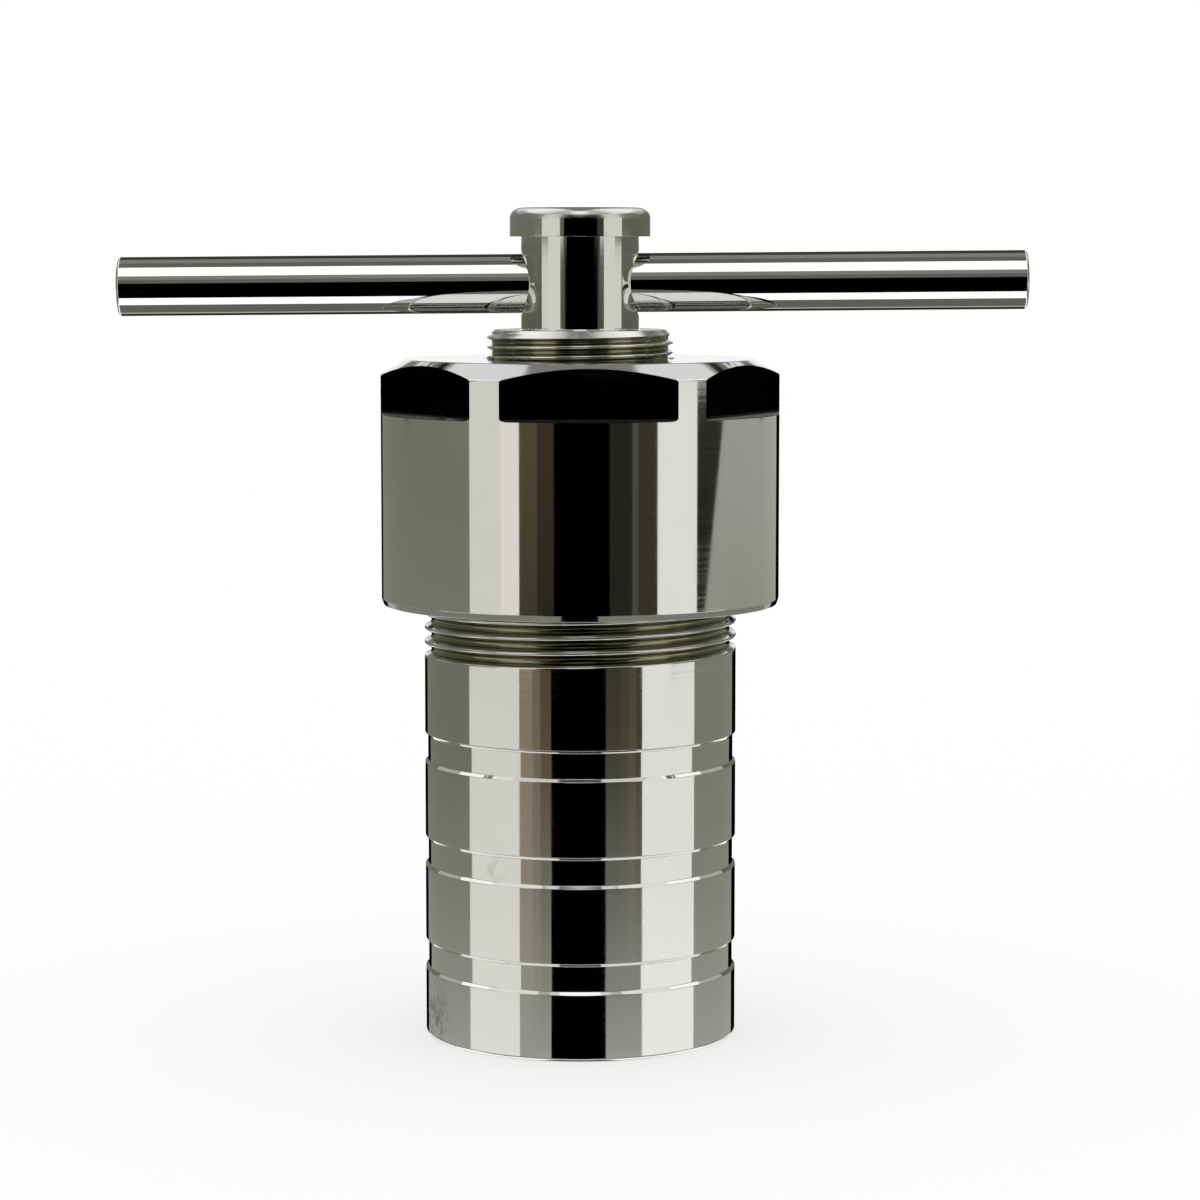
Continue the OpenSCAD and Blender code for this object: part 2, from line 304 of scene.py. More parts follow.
finish_mesh(shell, "shell", "turned_steel", "shell_body")

# Polished stainless steel: turned, then buffed on the lathe, so that the marks of the abrasive run
# round the axis. It mirrors what stands round it, and the marks draw the reflections out upwards.

STEEL_GREY = "D2D2D0"
STEEL_GREY_LOW = "CACAC8"
SCUFF_GREY = "3A3C3A"
CLOUD_MM, SMUDGE_MM = 25, 3.85      # how far apart the buffing's clouds and a scuff's spots lie
MARK_LENGTH_MM, BAR_MARK_STRETCH = 125, 40      # a mark's length, and that over its width
SHELL_SCUFFS = (((-30, -11, 5), 9, 0.8), ((-17, -27, 38), 3, 0.3))  # at the foot, on a band


def srgb(code):
    """A hex colour as linear red, green, blue and alpha."""
    parts = [int(code[k:k + 2], 16) / 255 for k in (0, 2, 4)]
    return [p / 12.92 if p <= 0.04045 else ((p + 0.055) / 1.055) ** 2.4 for p in parts] + [1.0]


def add_node(tree, kind, inputs=None, **settings):
    """Adds a node with its settings, its inputs' values and the links into it."""
    made = tree.nodes.new(kind)
    for name, value in settings.items():
        setattr(made, name, value)
    for name, value in (inputs or {}).items():
        if isinstance(value, bpy.types.NodeSocket):
            tree.links.new(value, made.inputs[name])
        else:
            made.inputs[name].default_value = value
    return made


def new_material(name):
    """A material with an empty node tree."""
    made = bpy.data.materials.new(name)
    made.use_nodes = True
    made.node_tree.nodes.clear()
    return made


def steel_material(name, low, high, rough_low, rough_high, marks_mm, mark_depth_mm, axis_z=True,
                   scuffs=()):
    """Polished steel with fine marks round the axis, or along a bar where axis_z is false. Each
    scuff gives its middle and its reach in mm, and how dark it is."""
    made = new_material(name)
    tree = made.node_tree
    place = add_node(tree, "ShaderNodeTexCoord").outputs["Object"]
    across = 1 / (marks_mm * MM)
    round_axis = 1 / (MARK_LENGTH_MM * MM)
    stretched = add_node(tree, "ShaderNodeMapping", {
        "Vector": place, "Scale": (round_axis, round_axis, across) if axis_z
        else (across / BAR_MARK_STRETCH, across, across)})
    lines = add_node(tree, "ShaderNodeTexNoise", {
        "Vector": stretched.outputs[0], "Scale": 1.0, "Detail": 3.0, "Roughness": 0.6})
    cloud = add_node(tree, "ShaderNodeTexNoise", {
        "Vector": place, "Scale": 1 / (CLOUD_MM * MM), "Detail": 4.0, "Roughness": 0.55})
    colour = add_node(tree, "ShaderNodeMix", {
        "Factor": cloud.outputs[0], 6: srgb(low), 7: srgb(high)}, data_type="RGBA")
    for at, reach, depth in scuffs:
        away = add_node(tree, "ShaderNodeVectorMath", {0: place, 1: [v * MM for v in at]},
                        operation="DISTANCE")
        near = add_node(tree, "ShaderNodeMapRange", {
            "Value": away.outputs["Value"], "From Min": reach * MM, "From Max": 0.0,
            "To Max": 1.0})
        smudge = add_node(tree, "ShaderNodeTexNoise", {
            "Vector": place, "Scale": 1 / (SMUDGE_MM * MM), "Detail": 5.0, "Distortion": 1.2})
        patch = add_node(tree, "ShaderNodeMapRange", {
            "Value": smudge.outputs[0], "From Min": 0.45, "From Max": 0.6, "To Max": depth})
        share = add_node(tree, "ShaderNodeMath", {0: near.outputs[0], 1: patch.outputs[0]},
                         operation="MULTIPLY")
        colour = add_node(tree, "ShaderNodeMix", {
            "Factor": share.outputs[0], 6: colour.outputs[2], 7: srgb(SCUFF_GREY)},
            data_type="RGBA")
    mixed = add_node(tree, "ShaderNodeMath", {0: cloud.outputs[0], 1: lines.outputs[0]},
                     operation="MULTIPLY")
    rough = add_node(tree, "ShaderNodeMapRange", {
        "Value": mixed.outputs[0], "From Min": 0.15, "From Max": 0.4,
        "To Min": rough_low, "To Max": rough_high})
    bump = add_node(tree, "ShaderNodeBump", {
        "Height": lines.outputs[0], "Distance": mark_depth_mm * MM, "Strength": 1.0})
    shader = add_node(tree, "ShaderNodeBsdfPrincipled", {
        "Base Color": colour.outputs[2], "Roughness": rough.outputs[0], "Metallic": 1.0,
        "Normal": bump.outputs[0]})
    add_node(tree, "ShaderNodeOutputMaterial", {"Surface": shader.outputs[0]})
    return made


# Painted shade for the thread grooves: two dark olives mottled at random, and how far apart the
# mottle lies in mm
GROOVE_SHADE_OLIVE, GROOVE_SHADE_OLIVE_LOW, GROOVE_SHADE_MM = "8A8872", "76745C", 4.5


def thread_material(name, crest_r, groove_r):
    """Thread steel: grey on the crests, and dark olive towards the roots of the grooves as painted
    shade in the recesses, mottled at random."""
    made = new_material(name)
    tree = made.node_tree
    place = add_node(tree, "ShaderNodeTexCoord").outputs["Object"]
    level = add_node(tree, "ShaderNodeVectorMath", {0: place, 1: (1, 1, 0)}, operation="MULTIPLY")
    radius = add_node(tree, "ShaderNodeVectorMath", {0: level.outputs[0]}, operation="LENGTH")
    share = add_node(tree, "ShaderNodeMapRange", {
        "Value": radius.outputs["Value"], "From Min": groove_r * MM,
        "From Max": (crest_r - 0.02) * MM}, interpolation_type="SMOOTHSTEP")
    groove_shade_noise = add_node(tree, "ShaderNodeTexNoise", {
        "Vector": place, "Scale": 1 / (GROOVE_SHADE_MM * MM), "Detail": 4.0})
    shaded_grooves = add_node(tree, "ShaderNodeMix", {
        "Factor": groove_shade_noise.outputs[0], 6: srgb(GROOVE_SHADE_OLIVE_LOW), 7: srgb(GROOVE_SHADE_OLIVE)}, data_type="RGBA")
    colour = add_node(tree, "ShaderNodeMix", {
        "Factor": share.outputs[0], 6: shaded_grooves.outputs[2], 7: srgb(STEEL_GREY)},
        data_type="RGBA")
    rough = add_node(tree, "ShaderNodeMapRange", {
        "Value": share.outputs[0], "To Min": 0.14, "To Max": 0.1})
    shader = add_node(tree, "ShaderNodeBsdfPrincipled", {
        "Base Color": colour.outputs[2], "Roughness": rough.outputs[0], "Metallic": 1.0})
    add_node(tree, "ShaderNodeOutputMaterial", {"Surface": shader.outputs[0]})
    return made


give_material(
    shell,
    steel_material("polished turned steel, shell", STEEL_GREY_LOW, STEEL_GREY, 0.03, 0.08,
                   0.5, 0.0002, scuffs=SHELL_SCUFFS),
    thread_material("thread steel, shell", SHELL_R, SHELL_R - SHELL_THREAD_DEPTH))
# Where the groove has run out, the shell stays plain steel.
paint_faces(shell, THREAD_SLOT, lambda r, z, face: (
    SHELL_JOIN_Z + SHELL_JOIN_GAP < z < SHELL_TOP_Z - 0.05
    and r > SHELL_R - SHELL_THREAD_DEPTH - 0.1
    and (r < SHELL_R - 0.03 or z > SHELL_GROOVE_Z + SHELL_PITCH)))

# ------------------------------------------------------------------------------------------------
# Cup, pads and plate: the PTFE cup with its lid sits in the shell between two ground steel pads,
# and the plate that presses on them hangs from the screw by a spring ring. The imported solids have
# their true shapes, and get their finishes here.


PLAIN_CLOUD_MM = 16.7       # how far apart the lighter and darker places lie


def plain_material(name, colours, metallic, roughness, grain_mm, depth_mm, ior=None):
    """A fine-grained surface: faced or ground steel, PTFE or blackened spring steel."""
    made = new_material(name)
    tree = made.node_tree
    place = add_node(tree, "ShaderNodeTexCoord").outputs["Object"]
    grain = add_node(tree, "ShaderNodeTexNoise", {
        "Vector": place, "Scale": 1 / (grain_mm * MM), "Detail": 3.0})
    cloud = add_node(tree, "ShaderNodeTexNoise", {
        "Vector": place, "Scale": 1 / (PLAIN_CLOUD_MM * MM), "Detail": 3.0})
    colour = add_node(tree, "ShaderNodeMix", {
        "Factor": cloud.outputs[0], 6: srgb(colours[0]), 7: srgb(colours[1])}, data_type="RGBA")
    rough = add_node(tree, "ShaderNodeMapRange", {
        "Value": grain.outputs[0], "From Min": 0.3, "From Max": 0.7,
        "To Min": roughness[0], "To Max": roughness[1]})
    bump = add_node(tree, "ShaderNodeBump", {
        "Height": grain.outputs[0], "Distance": depth_mm * MM, "Strength": 1.0})
    shader = add_node(tree, "ShaderNodeBsdfPrincipled", {
        "Base Color": colour.outputs[2], "Roughness": rough.outputs[0], "Metallic": metallic,
        "Normal": bump.outputs[0]})
    if ior:
        shader.inputs["IOR"].default_value = ior
    add_node(tree, "ShaderNodeOutputMaterial", {"Surface": shader.outputs[0]})
    return made


def dress(material, *nodes):
    """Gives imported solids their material."""
    for name in nodes:
        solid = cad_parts[name]
        solid.data.materials.clear()
        solid.data.materials.append(material)


# Ground steel is a soft, even grey. Turned PTFE is matt white with a faint waxy gloss, and the
# blackened ring is nearly black.
dress(plain_material("ground steel", ("B9B9B4", "C4C4BF"), 1.0, (0.26, 0.38), 0.4, 0.003),
      "bottom_pad", "top_pad", "pressure_plate")
dress(plain_material("turned PTFE", ("ECEBE6", "F3F2EE"), 0.0, (0.38, 0.5), 0.6, 0.004, 1.35),
      "liner_cup", "liner_lid")
dress(plain_material("blackened spring steel", ("3A3A3C", "48484A"), 1.0, (0.3, 0.42), 0.3, 0.003),
      "retaining_ring")

# ------------------------------------------------------------------------------------------------
# Pressure screw: nose, thread, neck and collar turned in one piece from stainless bar, with a
# countersunk cross hole for the T-bar. Its thread runs out into the chamfer at the top.

SCREW_R = 19.0
SCREW_PITCH = 2.0
SCREW_THREAD_DEPTH = 1.0
SCREW_TOOTH = (0.3, 0.15, 0.2)      # crest width, and the rounding of crest and root
SCREW_GROOVE_Z = 140.8      # middle of a groove where it faces -Y
SCREW_SHOULDER_Z = 119.0
SCREW_CHAMFER_Z = 143.4
SCREW_TOP_Z = 144.9
NOSE_R, NOSE_Z = 8.0, 109.1
RING_GROOVE_R, RING_GROOVE_Z = 7.2, (112.0, 113.3)
NECK_R = 12.0
COLLAR_R, COLLAR_Z, COLLAR_TOP_Z, COLLAR_EDGE_R = 14.35, 163.8, 169.6, 2.2
BAR_Z = 154.35
BAR_HOLE_R = 6.25
HOLE_CHAMFER = 0.5
HOLE_STEPS = 96             # facets round the cross hole
SEAM = 0.05                 # width of the strip that joins a thread to its neighbours

screw_low = draw_section("screw_turning", rounded(
    [(0, NOSE_Z), (NOSE_R, NOSE_Z), (NOSE_R, RING_GROOVE_Z[0]), (RING_GROOVE_R, RING_GROOVE_Z[0]),
     (RING_GROOVE_R, RING_GROOVE_Z[1]), (NOSE_R, RING_GROOVE_Z[1]), (NOSE_R, SCREW_SHOULDER_Z),
     (SCREW_R - SCREW_THREAD_DEPTH - SEAM, SCREW_SHOULDER_Z)],
    [0, 0.15, 0, 0, 0, 0, 0.3, 0]))
turn(screw_low)
screw_rim_r = SCREW_R - (SCREW_TOP_Z - SCREW_CHAMFER_Z)
neck = rounded(
    [(screw_rim_r + SEAM, SCREW_TOP_Z - SEAM), (screw_rim_r, SCREW_TOP_Z),
     (NECK_R, SCREW_TOP_Z), (NECK_R, COLLAR_Z), (COLLAR_R, COLLAR_Z)],
    [0, 0.04, 0.4, 0.05, 0])
collar_edge = [(COLLAR_R - COLLAR_EDGE_R * (1 - math.cos(math.radians(a))),
                COLLAR_TOP_Z - COLLAR_EDGE_R * (1 - math.sin(math.radians(a))))
               for a in range(0, 91, 9)]
screw_high = draw_section("screw_neck", neck + collar_edge + [(0, COLLAR_TOP_Z)])
turn(screw_high)
screw_thread = cut_thread(
    "screw_thread",
    thread_tooth(SCREW_R, SCREW_R - SCREW_THREAD_DEPTH, SCREW_PITCH, *SCREW_TOOTH),
    SCREW_PITCH, SCREW_GROOVE_Z, SCREW_SHOULDER_Z, SCREW_TOP_Z)
reshape(screw_thread, lambda r, degrees, z: min(
    r, SCREW_R - SCREW_THREAD_DEPTH + max(0, z - SCREW_SHOULDER_Z),
    SCREW_R - max(0, z - SCREW_CHAMFER_Z)))
trim(screw_thread, SCREW_SHOULDER_Z + SEAM / 2, keep_above=True)
trim(screw_thread, SCREW_TOP_Z - 2 * SEAM, keep_above=False)
screw = join_pieces(screw_low, screw_high, screw_thread)
bridge(screw, SCREW_SHOULDER_Z, SCREW_SHOULDER_Z)
bridge(screw, SCREW_TOP_Z - 2 * SEAM, SCREW_TOP_Z - SEAM)


def subtract(piece, cutter):
    """Cuts one closed mesh out of another and throws the cutter away."""
    pick_only(piece)
    cut = piece.modifiers.new("Cut", "BOOLEAN")
    cut.operation = "DIFFERENCE"
    cut.solver = "EXACT"
    cut.object = cutter
    bpy.ops.object.modifier_apply(modifier=cut.name)
    bpy.data.objects.remove(cutter)


def face_out(piece):
    """Turns a closed mesh's faces outwards."""
    pick_only(piece)
    bpy.ops.object.mode_set(mode="EDIT")
    bpy.ops.mesh.select_mode(type="VERT")
    bpy.ops.mesh.select_all(action="SELECT")
    bpy.ops.mesh.normals_make_consistent(inside=False)
    bpy.ops.object.mode_set(mode="OBJECT")


def lay_along_x(piece, z, tilt=0.0):
    """Lays a turned piece along X at height z, its +X end up by tilt in degrees."""
    pick_only(piece)
    piece.rotation_euler = (0, math.radians(90 - tilt), 0)
    piece.location = (0, 0, z * MM)
    bpy.ops.object.transform_apply(location=True, rotation=True, scale=True)


hole_end, hole_mouth = NECK_R + 1, NECK_R - HOLE_CHAMFER
drill = draw_section("drill", [
    (0, -hole_end), (BAR_HOLE_R + hole_end - hole_mouth, -hole_end), (BAR_HOLE_R, -hole_mouth),
    (BAR_HOLE_R, hole_mouth), (BAR_HOLE_R + hole_end - hole_mouth, hole_end), (0, hole_end)])
turn(drill, HOLE_STEPS)
lay_along_x(drill, BAR_Z)
face_out(screw)
face_out(drill)
subtract(screw, drill)
finish_mesh(screw, "screw", "turned_steel", "pressure_screw")

# The screw's top and the collar's edge are faced by a tool, so they are satin where the rest is
# buffed. The hole's wall is left rough from the drill, and painted dark grey as painted shade.
SCREW_FACED_SLOT, COLLAR_EDGE_SLOT, SHADED_HOLE_SLOT = 2, 3, 4
give_material(
    screw,
    steel_material("polished turned steel, screw", STEEL_GREY_LOW, STEEL_GREY, 0.03, 0.07,
                   0.4, 0.0001),
    thread_material("thread steel, screw", SCREW_R, SCREW_R - SCREW_THREAD_DEPTH),
    plain_material("faced steel, screw", (STEEL_GREY_LOW, STEEL_GREY), 1.0, (0.2, 0.28), 1.2, 0.0),
    plain_material("satin collar edge", (STEEL_GREY_LOW, STEEL_GREY), 1.0, (0.2, 0.26), 1.2, 0.0),
    plain_material("drilled steel in painted shade", ("5E5E56", "6A6A62"), 1.0, (0.2, 0.3), 0.4, 0.0))
paint_faces(screw, SCREW_FACED_SLOT, lambda r, z, face: (
    SCREW_CHAMFER_Z < z <= SCREW_TOP_Z + 0.01 and r > NECK_R + 0.1))
paint_faces(screw, COLLAR_EDGE_SLOT, lambda r, z, face: z > COLLAR_TOP_Z - COLLAR_EDGE_R)
HOLE_LEAN = 0.97            # cosine that tells the hole's wall from the neck's round
# The hole's wall and countersink take the dark grey painted shade.
paint_faces(screw, SHADED_HOLE_SLOT, lambda r, z, face: (
    abs(z - BAR_Z) < BAR_HOLE_R + 3 * HOLE_CHAMFER and r < NECK_R + 0.01 and abs(
        face.normal.x * face.center.x + face.normal.y * face.center.y) < HOLE_LEAN * r * MM))
paint_faces(screw, THREAD_SLOT, lambda r, z, face: (
    SCREW_SHOULDER_Z < z < SCREW_CHAMFER_Z and r > SCREW_R - SCREW_THREAD_DEPTH - 0.1))

# ------------------------------------------------------------------------------------------------
# Cap: bored, threaded twice and polished, then milled with six wrench flats that leave a ledge
# with a small radius. The lower thread takes the shell, the upper one the pressure screw.

CAP_R = 40.75
CAP_Z, CAP_TOP_Z = 89.0, 139.0
CAP_FOOT_BEVEL, CAP_FOOT_BEVEL_H = 0.4, 1.2
CAP_TOP_R, CAP_SLOPE = 35.3, 30.0
CAP_CEILING_Z = 124.0
CAP_BORE_R, CAP_RELIEF_R, CAP_RELIEF_Z = 32.3, 32.9, 120.5
SCREW_BORE_R = 19.3
FLATS_AF, FLATS_Z, FLATS_TURN, FLATS_NOSE_R = 73.6, 127.8, 3.0, 0.7
FLATS_COUNT = 6
CAP_SCREW_CHAMFER = 0.5
SHELL_NUT_R, SHELL_NUT_CREST_W = 30.95, 1.04    # crests of the cap's own two threads
SCREW_NUT_R, SCREW_NUT_CREST_W = 18.35, 0.71

cap_shoulder_z = CAP_TOP_Z - (CAP_R - CAP_TOP_R) * math.tan(math.radians(CAP_SLOPE))
cap = draw_section("cap_turning", rounded(
    [(CAP_BORE_R + SEAM, CAP_Z + MOUTH_CHAMFER - SEAM), (CAP_BORE_R + MOUTH_CHAMFER, CAP_Z),
     (CAP_R - CAP_FOOT_BEVEL, CAP_Z), (CAP_R, CAP_Z + CAP_FOOT_BEVEL_H), (CAP_R, cap_shoulder_z),
     (CAP_TOP_R, CAP_TOP_Z), (SCREW_BORE_R + CAP_SCREW_CHAMFER, CAP_TOP_Z),
     (SCREW_BORE_R + SEAM, CAP_TOP_Z - CAP_SCREW_CHAMFER + SEAM)],
    [0, 0.15, 0.08, 0.08, 0.35, 0.35, 0.1, 0]))
turn(cap)
cap_inside = draw_section("cap_inside", [
    (CAP_BORE_R + SEAM, CAP_RELIEF_Z + SEAM), (CAP_RELIEF_R, CAP_RELIEF_Z + 0.6),
    (CAP_RELIEF_R, CAP_CEILING_Z), (SCREW_BORE_R + MOUTH_CHAMFER, CAP_CEILING_Z),
    (SCREW_BORE_R + SEAM, CAP_CEILING_Z + MOUTH_CHAMFER - SEAM)])
turn(cap_inside)


def nut_thread(name, bore_r, crest_r, crest_w, pitch, groove_z, z_low, z_high):
    """An inner thread whose crests lie in the grooves of the thread that it takes. Both ends are
    chamfered, so that they start and end at the bore."""
    tooth = thread_tooth(crest_r, bore_r, pitch, crest_w, 0.15, 0.08)
    made = cut_thread(name, tooth, pitch, groove_z + pitch / 2, z_low, z_high)
    reshape(made, lambda r, degrees, z: max(
        r, bore_r - max(0, z - z_low), bore_r - max(0, z_high - z)))
    trim(made, z_low, keep_above=True)
    trim(made, z_high, keep_above=False)
    return made


shell_side = nut_thread("cap_shell_thread", CAP_BORE_R, SHELL_NUT_R, SHELL_NUT_CREST_W,
                        SHELL_PITCH, SHELL_GROOVE_Z, CAP_Z + MOUTH_CHAMFER, CAP_RELIEF_Z)
screw_side = nut_thread("cap_screw_thread", SCREW_BORE_R, SCREW_NUT_R, SCREW_NUT_CREST_W,
                        SCREW_PITCH, SCREW_GROOVE_Z, CAP_CEILING_Z + MOUTH_CHAMFER,
                        CAP_TOP_Z - CAP_SCREW_CHAMFER)
join_pieces(cap, cap_inside, shell_side, screw_side)
for seam_z in (CAP_Z + MOUTH_CHAMFER, CAP_RELIEF_Z, CAP_CEILING_Z + MOUTH_CHAMFER,
               CAP_TOP_Z - CAP_SCREW_CHAMFER):
    bridge(cap, seam_z, seam_z)
face_out(cap)



def pick_nose_edge(cutter):
    """Selects the edge of a flat's cutter that leaves the corner between flat and ledge."""
    for edge in cutter.data.edges:
        ends = [cutter.data.vertices[v].co for v in edge.vertices]
        edge.select = all(abs(co.x - FLATS_AF / 2 * MM) < MM / 10
                          and abs(co.z - FLATS_Z * MM) < MM / 10 for co in ends)


def flat_cutter(side):
    """The block that mills one flat: as high and deep as the cap is wide from its axis, with its
    nose edge rounded."""
    bpy.ops.object.select_all(action="DESELECT")
    bpy.ops.mesh.primitive_cube_add(size=1)
    cutter = bpy.context.object
    cutter.scale = (CAP_R * MM, 2 * CAP_R * MM, CAP_R * MM)
    cutter.location = ((FLATS_AF / 2 + CAP_R / 2) * MM, 0, (FLATS_Z + CAP_R / 2) * MM)
    bpy.ops.object.transform_apply(location=True, rotation=True, scale=True)
    pick_nose_edge(cutter)
    bpy.ops.object.mode_set(mode="EDIT")
    bpy.ops.mesh.select_mode(type="EDGE")
    bpy.ops.object.mode_set(mode="OBJECT")
    pick_nose_edge(cutter)      # once more, because the change of mode picks more edges
    bpy.ops.object.mode_set(mode="EDIT")
    bpy.ops.mesh.bevel(offset=FLATS_NOSE_R * MM, segments=5)
    bpy.ops.object.mode_set(mode="OBJECT")
    cutter.rotation_euler = (0, 0, math.radians(FLATS_TURN - 90 + 360 / FLATS_COUNT * side))
    bpy.ops.object.transform_apply(location=True, rotation=True, scale=True)
    return cutter


for side in range(FLATS_COUNT):
    subtract(cap, flat_cutter(side))
finish_mesh(cap, "cap", "turned_steel", "cap")


def shade_as_turned(piece):
    """Shades the turned faces as the round surface that they stand for, up to where a flat cuts
    them off, so that reflections don't bend there."""
    mesh = piece.data
    normals = [list(shown.vector) for shown in mesh.corner_normals]
    facet = math.radians(0.8 * 360 / LATHE_STEPS)   # a turned face reaches half its width
    for face in mesh.polygons:
        faces_at = math.atan2(face.normal.y, face.normal.x)
        spots = [mesh.vertices[v].co for v in face.vertices]
        if all(abs(math.remainder(math.atan2(at.y, at.x) - faces_at, math.tau)) < facet
               for at in spots):
            for loop, at in zip(face.loop_indices, spots):
                level, z = math.hypot(at.x, at.y), normals[loop][2]
                side = math.sqrt(max(0.0, 1 - z * z)) / level
                normals[loop] = [at.x * side, at.y * side, z]
    mesh.normals_split_custom_set(normals)


shade_as_turned(cap)

# The flats are polished flat, without lathe marks. Their inner corners are painted nearly black
# as painted shade. The top is faced, and a little satin.
FLATS_SLOT, SHADED_CORNERS_SLOT, CAP_FACED_SLOT = 1, 2, 3
FLAT_AREA = 100 * MM ** 2       # a flat is one large face, and each facet of the cap is smaller
give_material(
    cap,
    steel_material("polished turned steel, cap", STEEL_GREY_LOW, STEEL_GREY, 0.03, 0.08,
                   0.5, 0.0002),
    plain_material("polished flats", (STEEL_GREY_LOW, STEEL_GREY), 1.0, (0.02, 0.03), 0.8, 0.0),
    plain_material("corners in painted shade", ("141412", "1C1C1A"), 1.0, (0.06, 0.1), 0.3, 0.0),
    plain_material("faced steel, cap", (STEEL_GREY_LOW, STEEL_GREY), 1.0, (0.07, 0.11), 1.2, 0.0))
paint_faces(cap, FLATS_SLOT, lambda r, z, face: (
    face.area > FLAT_AREA and z > FLATS_Z and abs(face.normal.z) < 0.01))
paint_faces(cap, CAP_FACED_SLOT, lambda r, z, face: z > cap_shoulder_z and face.normal.z > 0.5)
# The fillets along the foot of each flat take the near-black painted shade.
paint_faces(cap, SHADED_CORNERS_SLOT, lambda r, z, face: (
    FLATS_Z - 0.01 < z < FLATS_Z + FLATS_NOSE_R and r > FLATS_AF / 2 - 0.1
    and face.normal.z > 0.02))

# ------------------------------------------------------------------------------------------------
# T-bar: ground and mirror-polished round bar that slides in the neck's cross hole and mirrors
# the room in stripes along its length. Play in the hole lets its right end ride a little high.

BAR_R, BAR_L, BAR_SHIFT, BAR_TILT, BAR_CHAMFER = 6.0, 185.0, -1.5, 0.45, 0.4

bar_low, bar_high = BAR_SHIFT - BAR_L / 2, BAR_SHIFT + BAR_L / 2
bar = draw_section("bar_rod", rounded(
    [(0, bar_low), (BAR_R - BAR_CHAMFER, bar_low), (BAR_R, bar_low + BAR_CHAMFER),
     (BAR_R, bar_high - BAR_CHAMFER), (BAR_R - BAR_CHAMFER, bar_high), (0, bar_high)],
    [0, 0.15, 0.15, 0.15, 0.15, 0]))
turn(bar)
lay_along_x(bar, BAR_Z, BAR_TILT)
finish_mesh(bar, "bar", "polished_bar", "t_bar")
give_material(bar, steel_material("mirror-polished steel bar", "D6D6D2", "DBDBD7", 0.02, 0.05,
                                 0.2, 0.0001, axis_z=False))

# ------------------------------------------------------------------------------------------------
# Camera: stands a little above the middle of the reactor and looks slightly down.

CAMERA_AT = (4.87, -722.5, 162.0)
CAMERA_PITCH, CAMERA_YAW = 5.74, -0.064
CAMERA_LENS, CAMERA_SENSOR_W = 105.87, 36

view = bpy.data.cameras.new("camera")
view.sensor_width = CAMERA_SENSOR_W
view.lens = CAMERA_LENS
camera = bpy.data.objects.new("camera", view)
camera.location = [value * MM for value in CAMERA_AT]
camera.rotation_euler = (math.radians(90 - CAMERA_PITCH), 0, math.radians(-CAMERA_YAW))
bpy.context.scene.collection.objects.link(camera)
bpy.context.scene.camera = camera

# ------------------------------------------------------------------------------------------------
# Studio: a white floor and white surroundings, and a ring of cards that only the polished metal
# sees: a black flag in front, white softboxes at its sides, and grey walls round them.

STUDIO_R = 20.0             # metres, so that all the pieces see the same cards
CARD_LIGHT = 1.55           # over the steel's own grey, so that a tone shows as it is written
CARD_STEP = 3               # degrees from one row of a card's faces to the next
FADE_POWER = 2.0            # a card's foot tone stays near its foot
STRIP_HALF_W, STRIP_STEPS, STRIP_LAYER = 9.2, 8, 0.5    # of the strips over and under
FLOOR_SIZE, FLOOR_GLOW = 8, 0.5     # metres, and the share of its own light that the camera sees

bpy.ops.object.select_all(action="DESELECT")
bpy.ops.mesh.primitive_plane_add(size=FLOOR_SIZE)
floor = bpy.context.object
floor.name = "floor"
floor_paint = new_material("white floor")
tree = floor_paint.node_tree
matt = add_node(tree, "ShaderNodeBsdfDiffuse", {"Color": (1, 1, 1, 1)})
glow = add_node(tree, "ShaderNodeEmission", {"Color": (1, 1, 1, 1), "Strength": 1.0})
ray = add_node(tree, "ShaderNodeLightPath")
share = add_node(tree, "ShaderNodeMath", {0: ray.outputs["Is Camera Ray"], 1: FLOOR_GLOW},
                 operation="MULTIPLY")
mix = add_node(tree, "ShaderNodeMixShader", {0: share.outputs[0], 1: matt.outputs[0],
                                             2: glow.outputs[0]})
add_node(tree, "ShaderNodeOutputMaterial", {"Surface": mix.outputs[0]})
floor.data.materials.append(floor_paint)
floor.visible_glossy = False

world = bpy.data.worlds.new("white studio")
world.use_nodes = True
world.node_tree.nodes.clear()
sky = add_node(world.node_tree, "ShaderNodeBackground", {"Color": (1, 1, 1, 1), "Strength": 1.0})
add_node(world.node_tree, "ShaderNodeOutputWorld", {"Surface": sky.outputs[0]})
world.cycles.sampling_method = "NONE"
bpy.context.scene.world = world
bpy.context.scene.view_settings.view_transform = "Standard"


def arc(low, high, count, radius):
    """Points of an arc in metres, from one angle above the level to another, in degrees."""
    angles = [math.radians(low + (high - low) * k / count) for k in range(count + 1)]
    return [(radius * math.cos(a), radius * math.sin(a)) for a in angles]


def slant_side(piece, turned, raised, radius, slant):
    """Slants a card's far side, by slant at the top and not at all at the foot."""
    for vertex in piece.data.vertices:
        x, y, z = vertex.co
        at = math.degrees(math.atan2(x, -y))
        share = (at - turned[0]) / (turned[1] - turned[0])
        rise = (math.degrees(math.asin(z / radius)) - raised[0]) / (raised[1] - raised[0])
        at, level = math.radians(at + share * rise * slant), math.hypot(x, y)
        vertex.co.x, vertex.co.y = level * math.sin(at), -level * math.cos(at)


